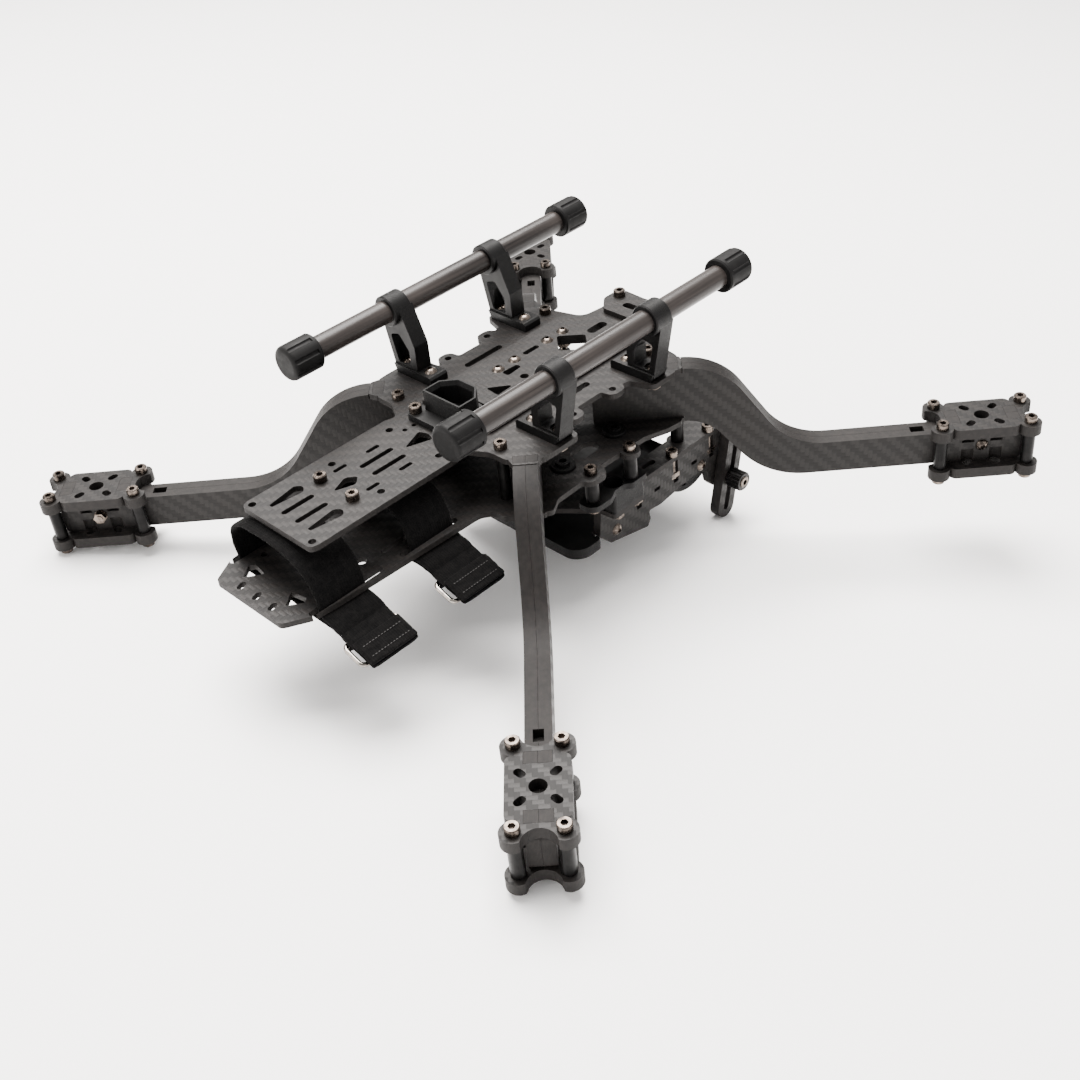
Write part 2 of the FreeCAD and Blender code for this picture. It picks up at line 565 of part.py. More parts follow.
def rail_cap(x_open, direction):
    """A soft cap on a tube's end: mouth at x_open, rounded closed end further along X, eight grip grooves."""
    body = cylinder(cap_r, cap_len, 0, 0, 0)
    far = [e for e in body.Edges if e.Closed and abs(e.CenterOfMass.z - cap_len) < 1e-6]
    near = [e for e in body.Edges if e.Closed and abs(e.CenterOfMass.z) < 1e-6]
    body = body.makeFillet(2.2, far).makeChamfer(0.6, near)
    grooves = []
    for i in range(8):
        a = math.radians(45.0 * i + 22.5)
        grooves.append(cylinder(1.3, cap_len - 3.0, 8.4 * math.cos(a), 8.4 * math.sin(a), 2.0))
    body = body.cut(Part.makeCompound(grooves))
    body = body.cut(cylinder(rail_r + 0.02, cap_len - cap_wall, 0, 0, 0))
    return placed(body, x_open, rail_y, rail_z, (direction, 0, 0))


def make_rails():
    tube = cylinder(rail_r, rail_x[1] - rail_x[0], rail_x[0], rail_y, rail_z, (1, 0, 0))
    tube = tube.cut(cylinder(rail_bore_r, rail_x[1] - rail_x[0], rail_x[0], rail_y, rail_z, (1, 0, 0)))
    rear = rail_cap(rail_x[0] + cap_len - cap_wall, -1)
    front = rail_cap(rail_x[1] - cap_len + cap_wall, 1)
    clamps = {"rear": rail_clamp(clamp_x[0]), "front": rail_clamp(clamp_x[1])}
    save("rail_left", tube)
    save("rail_right", mirror_y(tube))
    save("rail_caps", rear, mirror_y(rear), front, mirror_y(front))
    for end, clamp in clamps.items():
        save("rail_clamp_%s_left" % end, clamp)
        save("rail_clamp_%s_right" % end, mirror_y(clamp))
    button = button_screw(clamp_foot_t + plate_t + nut_h + 0.6)
    screws = [placed(button, x, s * y, deck_top + clamp_foot_t, spin=12)
              for x in clamp_x for y in clamp_screw_y for s in (-1, 1)]
    save("clamp_screws", *screws)


# ---------------------------------------------------------------- camera cage
def in_xz(points, y, width):
    """An (x, z) outline made solid along +Y from y."""
    flat = slab(points, 0, width)
    turn = Rotation(Vector(1, 0, 0), Vector(0, 0, 1), Vector(0, -1, 0), "ZXY")
    flat.Placement = Placement(Vector(0, y + width, 0), turn)
    return flat


def side_plate():
    """The +Y side plate: three screw-and-nut slots, a leg at the nose, a foot at the rear."""
    m = motor_top
    outline = [(-3.0, cage_under, 0.5), (88.0, cage_under, 2), (88.0, m - 41.0, 4), (83.5, m - 44.0, 4),
               (74.5, m - 44.0, 4), (71.0, m - 40.0, 3), (69.0, m - 31.5, 4), (59.0, m - 29.0, 6),
               (36.0, m - 31.5, 4),
               (27.6, m - 30.4, 1), (28.6, m - 35.0, 1), (26.6, m - 38.6, 1), (2.0, m - 32.8, 2),
               (-4.6, m - 26.0, 2)]
    plate = in_xz(outline, side_in, side_out - side_in)
    wide = side_out - side_in
    for x in side_screw_x:
        plate = plate.cut(Part.makeBox(3.2, wide, 11.5, Vector(x - 1.6, side_in, cage_under - 11.5)))
        plate = plate.cut(Part.makeBox(5.7, wide, 2.6, Vector(x - 2.85, side_in, nut_z - 1.3)))
    for x in (34.0, 60.0):
        plate = plate.cut(Part.makeBox(4.0, wide, 1.8, Vector(x - 2.0, side_in, nut_z - 0.9)))
    plate = plate.cut(cylinder(screw_r + run_clear, wide, pivot_x, side_in, pivot_z, (0, 1, 0)))
    plate = plate.cut(cylinder(clear_r, wide, 6.3, side_in, m - 28.0, (0, 1, 0)))
    plate = plate.cut(cylinder(clear_r, wide, 65.0, side_in, motor_top - 26.4, (0, 1, 0)))
    return plate


def make_cage():
    plate = side_plate()
    save("cage_side_left", plate)
    save("cage_side_right", mirror_y(plate))
    half_top = [(-20.0, 0), (-20.0, 19.5, 4), (-3.0, 42.0), (-2.4, 50.2, 1.5),
                (17.5, 50.2, 1.5), (17.5, side_out), (88.0, side_out, 2), (88.0, 0)]
    top = slab(mirrored(half_top), cage_under, plate_t)
    bay = slab([(14.0, -31.4, 5), (66.0, -31.4, 5), (66.0, 31.4, 5), (14.0, 31.4, 5)], cage_under, plate_t)
    top = top.cut(bay)
    lugs = [cylinder(5.0, plate_t, 58.0, s * 34.5, cage_under) for s in (-1, 1)]
    top = top.fuse(lugs).removeSplitter()
    holes = [(x, s * (side_in + side_out) / 2) for x in side_screw_x for s in (-1, 1)]
    holes += [(x, s * y) for x, y in (cage_post_spots[2], hanger_bolt) for s in (-1, 1)]
    for x, y in holes:
        top = top.cut(cylinder(clear_r, plate_t, x, y, cage_under))
    for s in (-1, 1):
        top = top.cut(slot(8.0, 3.0, 35.0, s * 37.0, cage_under, plate_t))
    save("cage_top_plate", top)
    half_tray = [(-22.4, 0), (-22.4, 46.4, 8), (-8.0, 46.4, 2), (-5.6, 38.3, 0.5), (52.0, 38.3, 3),
                 (56.0, 20.0, 4),
                 (56.0, 0)]
    tray = slab(mirrored(half_tray), tray_top - tray_t, tray_t)
    lip = slab([(-22.4, -46.4, 8), (-22.4, 46.4, 8), (-8.0, 46.4, 2), (-7.4, 43.4, 0.5), (-19.6, 43.4, 5.2),
                (-19.6, -43.4, 5.2), (-7.4, -43.4, 0.5), (-8.0, -46.4, 2)], tray_top, 2.0)
    tray = tray.fuse(lip).removeSplitter()
    for s in (-1, 1):
        block = Part.makeBox(10.0, 5.0, tray_top - tray_t - (motor_top - 32.0),
                             Vector(1.3, s * (side_in - 2.7) - 2.5, motor_top - 32.0))
        tray = tray.fuse(block).removeSplitter()
        tray = tray.cut(cylinder(screw_r + 0.02, 6.0, 6.3, s * side_in, motor_top - 28.0, (0, -s, 0)))
    save("cage_tray", tray)
    y_mid = (side_in + side_out) / 2
    screw = socket_screw(12.5)
    screws = [placed(screw, x, s * y_mid, cage_top, spin=8) for x in side_screw_x for s in (-1, 1)]
    short = socket_screw(7.0)
    ear_lengths = (7.0, 20.0, 7.0)
    ears = [placed(socket_screw(n), q[0], s * q[1], lower_top, spin=8)
            for q, n in zip(cage_post_spots, ear_lengths) for s in (-1, 1)]
    post_feet = (hanger_top - hanger_t, cage_under)
    feet = [placed(short, q[0], s * q[1], z, (0, 0, -1), 8)
            for q, z in zip((cage_post_spots[0], cage_post_spots[2]), post_feet) for s in (-1, 1)]
    save("cage_socket_screws", *(screws + ears + feet))
    nuts = []
    for x in side_screw_x:
        for s in (-1, 1):
            nut = Part.makeBox(5.5, 3.8, 2.4, Vector(x - 2.75, s * y_mid - 1.9, nut_z - 1.2))
            nuts.append(nut.cut(cylinder(screw_r + 0.02, 4.0, x, s * y_mid, nut_z - 2.0)))
    save("square_nuts", *nuts)
    bases = (hanger_top, hanger_top, cage_top)
    bores = (5.0, 6.0, 5.0)
    posts = [post(q[0], s * q[1], z, lower_under, 3.0, n)
             for q, z, n in zip(cage_post_spots, bases, bores) for s in (-1, 1)]
    save("cage_posts", *posts)
    button = button_screw(7.5)
    spots = ((6.3, motor_top - 28.0), (65.0, motor_top - 26.4))
    save("side_button_screws", *[placed(button, x, s * side_out, z, (0, s, 0), 5) for x, z in spots
                                 for s in (-1, 1)])


def hanger():
    """The +Y hanger: a shelf under the rear post, carried by a block bolted to the cage's upper plate."""
    low = hanger_top - hanger_t
    shelf = slab([(-17.2, 43.6, 2), (-17.2, 52.6, 5), (-6.0, 52.6, 4), (-1.0, 50.2, 3), (5.0, 50.2, 3),
                  (7.5, 52.6, 3),
                  (17.5, 52.6, 2), (17.5, 39.0, 1), (-3.0, 39.0, 4), (-8.0, 42.4, 3)], low, hanger_t)
    block = slab([(-2.2, 39.0, 1), (-2.2, 50.2, 1.5), (17.5, 50.2, 1.5), (17.5, 39.0, 1)], cage_top,
                 low - cage_top)
    body = shelf.fuse(block).removeSplitter()
    x, y = hanger_bolt
    body = body.cut(cylinder(clear_r, hanger_top - cage_top, x, y, cage_top))
    body = body.cut(cylinder(4.2, hanger_top - cage_top - 2.5, x, y - 1.0, cage_top + 2.5))
    x, y = cage_post_spots[0]
    body = body.cut(cylinder(clear_r, hanger_t, x, y, low))
    x, y = cage_post_spots[1]
    return body.cut(cylinder(screw_r + 0.02, 8.0, x, y, hanger_top - 8.0))


def make_hangers():
    left = hanger()
    save("cage_hangers", left, mirror_y(left))
    bolt = button_screw(7.5)
    x, y = hanger_bolt
    save("hanger_screws", *[placed(bolt, x, s * y, cage_top + 2.5, spin=5) for s in (-1, 1)])
    save("hanger_nuts", *[lock_nut(x, s * y, cage_under) for s in (-1, 1)])


def make_dampers():
    """Rubber buffers on the lower plate: a flat disc with a raised hub and a hole."""
    discs = []
    for x, y in damper_spots:
        for s in (-1, 1):
            disc = cylinder(5.4, 1.5, x, s * y, lower_top)
            rim = [e for e in disc.Edges if e.Closed and e.BoundBox.ZMin > lower_top + 1.0]
            disc = disc.makeChamfer(0.4, rim)
            disc = disc.fuse(cylinder(3.2, 3.0, x, s * y, lower_top)).removeSplitter()
            discs.append(disc.cut(cylinder(clear_r, 3.0, x, s * y, lower_top)))
    save("damper_rings", *discs)


def make_front_tray():
    """The curved tray between the side plates under the nose: a bowed floor and two screwed cheeks."""
    m = motor_top
    inner = side_in - 0.1
    rear = (46.0, m - 30.6)
    low = (61.0, m - 38.4)
    nose = (73.0, m - 34.0)
    thick = 2.6
    floor_line = Part.Arc(Vector(rear[0], 0, rear[1]), Vector(low[0], 0, low[1]),
                          Vector(nose[0], 0, nose[1])).toShape()
    raised = Part.Arc(Vector(rear[0], 0, rear[1] + thick), Vector(low[0], 0, low[1] + thick),
                      Vector(nose[0], 0, nose[1] + thick)).toShape()
    sides = [Part.LineSegment(Vector(p[0], 0, p[1]), Vector(p[0], 0, p[1] + thick)).toShape()
             for p in (rear, nose)]
    face = Part.Face(Part.Wire([floor_line, sides[1], raised, sides[0]]))
    face.translate(Vector(0, -inner, 0))
    tray = face.extrude(Vector(0, 2 * inner, 0))
    for s in (-1, 1):
        cheek = in_xz([(58.0, m - 36.8), (71.0, m - 34.2, 1), (71.0, m - 22.0, 4), (59.0, m - 22.0, 4)], 0,
                      3.4)
        cheek.translate(Vector(0, inner - 3.4 if s > 0 else -inner, 0))
        tray = tray.fuse(cheek).removeSplitter()
        hole = cylinder(screw_r + 0.02, 8.0, 65.0, s * (inner + 2), m - 26.4, (0, -s, 0))
        tray = tray.cut(hole)
    save("front_tray", tray)


def make_camera_bar(side):
    """A slotted bar, its pivot bush, its clamp screw and its knob, for one side."""
    s = {"left": 1, "right": -1}[side]
    length = bar_below + bar_above
    middle = (bar_above - bar_below) / 2

    def round_ended(long, wide, y_low, thick):
        body = slot(long, wide, 0, 0, 0, thick, 90)
        body.rotate(Vector(0, 0, 0), Vector(1, 0, 0), 90)
        body.translate(Vector(0, y_low + thick, middle))
        return body

    bar = round_ended(length, bar_w, bar_in, bar_out - bar_in)
    bar = bar.cut(round_ended(length - 2 * bar_end_margin, bar_slot_w, bar_in - 1, bar_out - bar_in + 2))
    disc = cylinder(4.0, bar_in - side_out - 0.2, 0, side_out + 0.1, 0, (0, 1, 0))
    lugs = [in_xz([(-1.65, low), (1.65, low), (1.65, low + 1.5), (-1.65, low + 1.5)], bar_in - 0.1, 3.0)
            for low in (-3.3, 1.8)]
    bush = disc.fuse(lugs).removeSplitter().cut(cylinder(screw_r + run_clear, 10, 0, side_out, 0, (0, 1, 0)))
    knob_y = bar_out + 0.3
    knob = cylinder(knob_r, knob_len, 0, knob_y, 0, (0, 1, 0))
    rims = [e for e in knob.Edges if e.Closed]
    knob = knob.makeChamfer(0.5, rims)
    flutes = [cylinder(0.55, knob_len, (knob_r + 0.15) * math.cos(a), knob_y, (knob_r + 0.15) * math.sin(a),
                       (0, 1, 0))
              for a in [math.radians(20.0 * i) for i in range(18)]]
    knob = knob.cut(Part.makeCompound(flutes))
    seat = knob_y + knob_len - 2.4
    knob = knob.cut(cylinder(head_r + 0.02, 3.0, 0, seat, 0, (0, 1, 0)))
    knob = knob.cut(cylinder(screw_r + 0.02, knob_len, 0, knob_y - 1, 0, (0, 1, 0)))
    screw = placed(socket_screw(seat - side_in + 1.2), 0, seat, 0, (0, 1, 0), 10)
    for name, shape in (("camera_bar_", bar), ("bar_bush_", bush), ("bar_knob_", knob),
                        ("knob_screw_", screw)):
        piece = shape.copy()
        piece.rotate(Vector(0, 0, 0), Vector(0, 1, 0), bar_lean)
        piece.translate(Vector(pivot_x, 0, pivot_z))
        save(name + side, piece if s > 0 else mirror_y(piece))


# ---------------------------------------------------------------- battery straps
def strap_path():
    """The middle line of the strap's arch over the lower plate, in (y, z)."""
    p = lower_top
    return {
        "arch": [(-strap_slot_y, p - 4.4), (-strap_slot_y, p + 2.0, 4), (-17.5, p + 15.0, 9),
                 (0.0, p + 19.6, 14),
                 (17.0, p + 19.6, 9), (27.6, p + 12.0, 7), (strap_slot_y, p + 1.0, 4),
                 (strap_slot_y, p - 4.4)],
    }


def band(points, x, thickness, width):
    """A flat band that follows a (y, z) line: thickness across the line, width along X."""
    vectors = [Vector(0, q[0], q[1]) for q in points]
    left = []
    right = []
    for i, here in enumerate(vectors):
        back = vectors[max(i - 1, 0)]
        ahead = vectors[min(i + 1, len(vectors) - 1)]
        run_in = (here - back).normalize() if i > 0 else (ahead - here).normalize()
        run_out = (ahead - here).normalize() if i < len(vectors) - 1 else run_in
        normal = Vector(0, -(run_in.z + run_out.z), run_in.y + run_out.y).normalize()
        stretch = 1.0 / max(0.5, normal.dot(Vector(0, -run_in.z, run_in.y)))
        radius = points[i][2] if len(points[i]) > 2 else 0.0
        left.append(here + normal * (thickness / 2 * stretch))
        right.append(here - normal * (thickness / 2 * stretch))
        turn = run_in.y * run_out.z - run_in.z * run_out.y
        grow = thickness / 2 if turn < 0 else -thickness / 2
        left[-1] = (left[-1].y, left[-1].z, max(radius + grow, 0.0) if radius else 0.0)
        right[-1] = (right[-1].y, right[-1].z, max(radius - grow, 0.0) if radius else 0.0)
    return in_yz(left + list(reversed(right)), x, width)


def make_straps():
    p = lower_under
    under_z = p - 1.5
    for name, x in (("rear", strap_x[0]), ("front", strap_x[1])):
        arch = band(strap_path()["arch"], x, strap_t, strap_w)
        under = band([(strap_slot_y + 0.8, under_z), (-30.0, under_z, 8), (-40.5, under_z - 3.5)], x,
                     strap_t, strap_w)
        tongue = band([(-strap_slot_y + 0.8, under_z), (-30.0, under_z, 8), (-55.5, under_z - 8.6)], x,
                      strap_t, strap_w)
        fold = band([(-45.5, under_z - 3.6), (-55.5, under_z - 7.0)], x, 3.2, strap_w)
        loop = cylinder(2.9, strap_w, x - strap_w / 2, ring_axis_y, lower_under - ring_axis_drop, (1, 0, 0))
        strap = arch.fuse([under, tongue, fold, loop]).removeSplitter()
        strap = strap.cut(cylinder(ring_wire_r + 0.3, strap_w, x - strap_w / 2, ring_axis_y,
                                   lower_under - ring_axis_drop, (1, 0, 0)))
        save("strap_" + name, strap)


def make_buckles():
    half_x = strap_w / 2 + 1.5
    for name, x in (("rear", strap_x[0]), ("front", strap_x[1])):
        path = rounded_wire([(-half_x, -5.5, 2.2), (half_x, -5.5, 2.2), (half_x, 5.5, 2.2),
                             (-half_x, 5.5, 2.2)])
        start = path.OrderedVertexes[0].Point
        tangent = path.OrderedEdges[0].tangentAt(path.OrderedEdges[0].FirstParameter)
        circle = Part.Wire([Part.Circle(start, tangent, ring_wire_r).toShape()])
        ring = path.makePipeShell([circle], True, False)
        ring.translate(Vector(0, -5.5, 0))
        ring.rotate(Vector(0, 0, 0), Vector(1, 0, 0), ring_lean)
        ring.translate(Vector(x, ring_axis_y, lower_under - ring_axis_drop))
        save("buckle_ring_" + name, ring)


make_deck()
make_lower_plate()
make_deck_hardware()
make_deck_nuts()
make_connector_holder()
make_arms()
make_pods()
make_rails()
make_cage()
make_hangers()
make_dampers()
make_front_tray()
make_camera_bar("left")
make_camera_bar("right")
make_straps()
make_buckles()
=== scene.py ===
# %% [markdown]
# # A carbon-fibre quadcopter airframe
# This is the bare airframe of a heavy camera drone: woven carbon plates and arms, double-stacked motor pods,
# two landing rails and a camera cage. It lies on its back, so the rails are uppermost.
# Every hard piece comes ready-made as a frame. Here the pieces get their finishes, and the two battery straps
# are made as cloth bands, because a strap is the only soft thing on the airframe.

# %% load the frame
import math

import bmesh
import bpy
from mathutils import Matrix, Vector, noise


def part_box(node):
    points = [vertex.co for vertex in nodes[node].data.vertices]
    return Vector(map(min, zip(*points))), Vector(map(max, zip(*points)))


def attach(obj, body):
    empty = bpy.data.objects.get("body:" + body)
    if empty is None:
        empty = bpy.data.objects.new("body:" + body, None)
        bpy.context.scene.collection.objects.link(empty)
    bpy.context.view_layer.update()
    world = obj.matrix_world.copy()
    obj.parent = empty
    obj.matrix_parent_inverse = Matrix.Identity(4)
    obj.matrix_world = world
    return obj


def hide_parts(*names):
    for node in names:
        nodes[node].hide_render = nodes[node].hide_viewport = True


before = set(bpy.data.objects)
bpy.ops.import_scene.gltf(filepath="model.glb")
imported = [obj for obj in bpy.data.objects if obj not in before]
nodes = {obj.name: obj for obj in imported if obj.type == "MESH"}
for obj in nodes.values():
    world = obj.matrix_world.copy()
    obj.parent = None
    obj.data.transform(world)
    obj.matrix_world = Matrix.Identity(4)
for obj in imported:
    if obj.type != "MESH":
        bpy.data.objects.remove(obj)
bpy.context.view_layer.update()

# %% [markdown]
# ## Camera
# The airframe is looked at from behind its right rear pod, 35 degrees down, with a slightly long lens.
# A camera's matrix is three axes and a place: its X points right in the view, its Y up and its Z backwards.

# %% camera
MM = 0.001
CAMERA_PLACE = Vector((-351.79, -391.64, 414.44)) * MM
camera_data = bpy.data.cameras.new("studio_camera")
camera_data.lens = 47.52
camera_data.sensor_width = 36.0
camera_data.shift_x = 0.0039
camera_data.shift_y = -0.0638
camera_data.clip_start = 0.01
camera = bpy.data.objects.new("studio_camera", camera_data)
bpy.context.scene.collection.objects.link(camera)
view_right = Vector((0.6969, -0.7115, -0.0905)).normalized()
view_back = Vector((-0.5487, -0.6102, 0.5715)).normalized()
view_up = view_back.cross(view_right).normalized()
view_right = view_up.cross(view_back)
axes = Matrix((view_right, view_up, view_back)).transposed().to_4x4()
camera.matrix_world = Matrix.Translation(CAMERA_PLACE) @ axes
bpy.context.scene.camera = camera
print("camera stands", round(camera.location.length, 3), "m from the origin")

# %% [markdown]
# ## The floor it rests on
# The camera bars reach lower than the motor pods, so the airframe can't stand level on a table.
# It rests on the tips of both bars and on the lowest screw heads of the two rear pods.
# The frame keeps the airframe's own level axes, so here the table is tilted instead, by the angle between
# those two contacts. The line must touch the bars' round tips from below, which adds one small angle.

# %% floor
BAR_TIP_RADIUS = 5.75 * MM
TABLE_SIZE = 14.0
TABLE_GAP = 0.2 * MM
heads_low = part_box("pod_screws")[0]
bar_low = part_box("camera_bar_left")[0]
rear_contact = Vector((heads_low[0], heads_low[2]))
tip_centre = Vector((bar_low[0] + BAR_TIP_RADIUS, bar_low[2] + BAR_TIP_RADIUS))
reach = tip_centre - rear_contact
tilt = math.atan2(-reach.y, reach.x) + math.asin(BAR_TIP_RADIUS / reach.length)
print("the table is tilted", round(math.degrees(tilt), 2), "degrees")


def floor_height(x):
    """Height of the tilted table at a place along the airframe."""
    return rear_contact.y - math.tan(tilt) * (x - rear_contact.x)


bpy.ops.mesh.primitive_plane_add(size=TABLE_SIZE)
floor = bpy.context.object
floor.name = "studio_floor"
floor.matrix_world = (Matrix.Translation((0, 0, floor_height(0) - TABLE_GAP))
                      @ Matrix.Rotation(tilt, 4, "Y"))

# %% [markdown]
# ## Light
# Soft studio light for dark, shiny parts: a pale sky all round, one large and strong lamp overhead that draws
# long reflections on the plates, and two much weaker ones, one on each side of the camera. Big lamps keep the
# shadows faint.

# %% light
SKY_COLOUR = (1.0, 0.985, 0.975, 1.0)
SKY_STRENGTH = 1.0
LAMP_COLOUR = (1.0, 0.97, 0.945)
world = bpy.data.worlds.new("studio_sky")
world.use_nodes = True
world.node_tree.nodes["Background"].inputs["Color"].default_value = SKY_COLOUR
world.node_tree.nodes["Background"].inputs["Strength"].default_value = SKY_STRENGTH
bpy.context.scene.world = world


def lamp(name, place, size, power, target=(0.0, 0.0, 0.05)):
    """A square area lamp at place, pointed at the target."""
    data = bpy.data.lights.new(name, "AREA")
    data.shape = "SQUARE"
    data.size = size
    data.energy = power
    data.color = LAMP_COLOUR
    thing = bpy.data.objects.new(name, data)
    thing.location = place
    thing.rotation_euler = (Vector(target) - Vector(place)).to_track_quat("-Z", "Y").to_euler()
    bpy.context.scene.collection.objects.link(thing)
    return thing


lamp("overhead_lamp", (0.35, 0.55, 1.7), size=1.6, power=210.0)
lamp("side_lamp", (-1.5, 0.3, 1.0), size=1.0, power=18.0)
lamp("front_lamp", (0.2, -1.6, 0.9), size=1.0, power=4.0)
print("three lamps")

# %% [markdown]
# ## Wiring finishes from nodes
# A finish is a small network: where a spot lies on the piece, some arithmetic that turns its place into a
# pattern, and a Principled shader. These helpers keep each network short to read.
# Places are read in object coordinates. Every piece keeps the airframe's axes, so a pattern has its true size
# in metres and stays put when a piece moves.

# %% helpers for finishes


def finish_of(name, colour=(0.05, 0.05, 0.05), roughness=0.5, metallic=0.0):
    """A new material, its node tree and its shader, with the values that are the same all over."""
    material = bpy.data.materials.new(name)
    material.use_nodes = True
    tree = material.node_tree
    shader = tree.nodes["Principled BSDF"]
    shader.inputs["Base Color"].default_value = (*colour, 1.0)
    shader.inputs["Roughness"].default_value = roughness
    shader.inputs["Metallic"].default_value = metallic
    return material, tree, shader


def feed(tree, socket, value):
    """Link a socket to another node's output, or set it to a plain number."""
    if isinstance(value, bpy.types.NodeSocket):
        tree.links.new(value, socket)
    else:
        socket.default_value = value


def arith(tree, operation, first, second=0.0, third=0.0):
    """One Math node."""
    node = tree.nodes.new("ShaderNodeMath")
    node.operation = operation
    for socket, value in zip(node.inputs, (first, second, third)):
        feed(tree, socket, value)
    return node.outputs[0]


def place_on_piece(tree):
    """The spot's place on the piece, and the way its surface faces."""
    node = tree.nodes.new("ShaderNodeTexCoord")
    return node.outputs["Object"], node.outputs["Normal"]


def along(tree, vector, direction):
    """How far a vector reaches in one direction."""
    node = tree.nodes.new("ShaderNodeVectorMath")
    node.operation = "DOT_PRODUCT"
    feed(tree, node.inputs[0], vector)
    node.inputs[1].default_value = direction
    return node.outputs["Value"]


def combine(tree, x, y, z):
    """Three numbers as one place."""
    node = tree.nodes.new("ShaderNodeCombineXYZ")
    for socket, value in zip(node.inputs, (x, y, z)):
        feed(tree, socket, value)
    return node.outputs[0]


def mottle(tree, place, scale, detail=2.0, roughness=0.5):
    """Smooth random blotches, from 0 to 1."""
    node = tree.nodes.new("ShaderNodeTexNoise")
    feed(tree, node.inputs["Vector"], place)
    node.inputs["Scale"].default_value = scale
    node.inputs["Detail"].default_value = detail
    node.inputs["Roughness"].default_value = roughness
    return node.outputs[0]


def spread(tree, value, low, high, new_low, new_high):
    """Stretch a range of numbers onto another, held at its ends."""
    node = tree.nodes.new("ShaderNodeMapRange")
    for socket, number in zip(node.inputs, (value, low, high, new_low, new_high)):
        feed(tree, socket, number)
    return node.outputs[0]


def blend_colours(tree, share, first, second):
    """A colour between two colours."""
    node = tree.nodes.new("ShaderNodeMix")
    node.data_type = "RGBA"
    feed(tree, node.inputs[0], share)
    for socket, colour in ((node.inputs[6], first), (node.inputs[7], second)):
        if isinstance(colour, bpy.types.NodeSocket):
            tree.links.new(colour, socket)
        else:
            socket.default_value = (*colour, 1.0)
    return node.outputs[2]


def choose(tree, share, first, second):
    """A number between two numbers: first where share is 0, second where it is 1."""
    node = tree.nodes.new("ShaderNodeMix")
    node.data_type = "FLOAT"
    for socket, value in zip((node.inputs[0], node.inputs[2], node.inputs[3]), (share, first, second)):
        feed(tree, socket, value)
    return node.outputs[0]


def relief(tree, shader, height, depth, strength=1.0):
    """Bump: height from 0 to 1 stands for depth metres."""
    node = tree.nodes.new("ShaderNodeBump")
    node.inputs["Strength"].default_value = strength
    node.inputs["Distance"].default_value = depth
    feed(tree, node.inputs["Height"], height)
    tree.links.new(node.outputs[0], shader.inputs["Normal"])


print("finish helpers ready")

# %% [markdown]
# ## Woven carbon
# The plates are cut from sheets of 2 by 2 twill: flat bundles of fibre, two millimetres wide, cross over two
# and under two, one step further along in each row. That step makes the diagonal ribs.
# The weave is arithmetic on two directions in the plate. Whole numbers count the bundles, and the remainder
# of their sum by four says which bundle is on top. Its length catches light another way than its neighbour's;
# the colour carries this as painted sheen, a warp bundle on top painted paler than a weft bundle, and each
# bundle is painted paler on its crown and darker towards its edges, as painted highlight and shade.
# The two also differ a little in roughness.
# A milled edge cuts through the sheets instead, and shows them as thin lines. So the finish asks which way
# the surface faces and draws weave on the broad faces and layers on the edges.

# %% woven carbon
TOW = 2.0 * MM
LAYER = 0.42 * MM
FIBRES_PER_TOW = 14.0
DARK_TOW = (0.0030, 0.0027, 0.0026)
PALE_TOW = (0.0150, 0.0130, 0.0120)
RESIN_LINE = (0.026, 0.022, 0.020)
CORE_LINE = (0.0048, 0.0042, 0.0040)


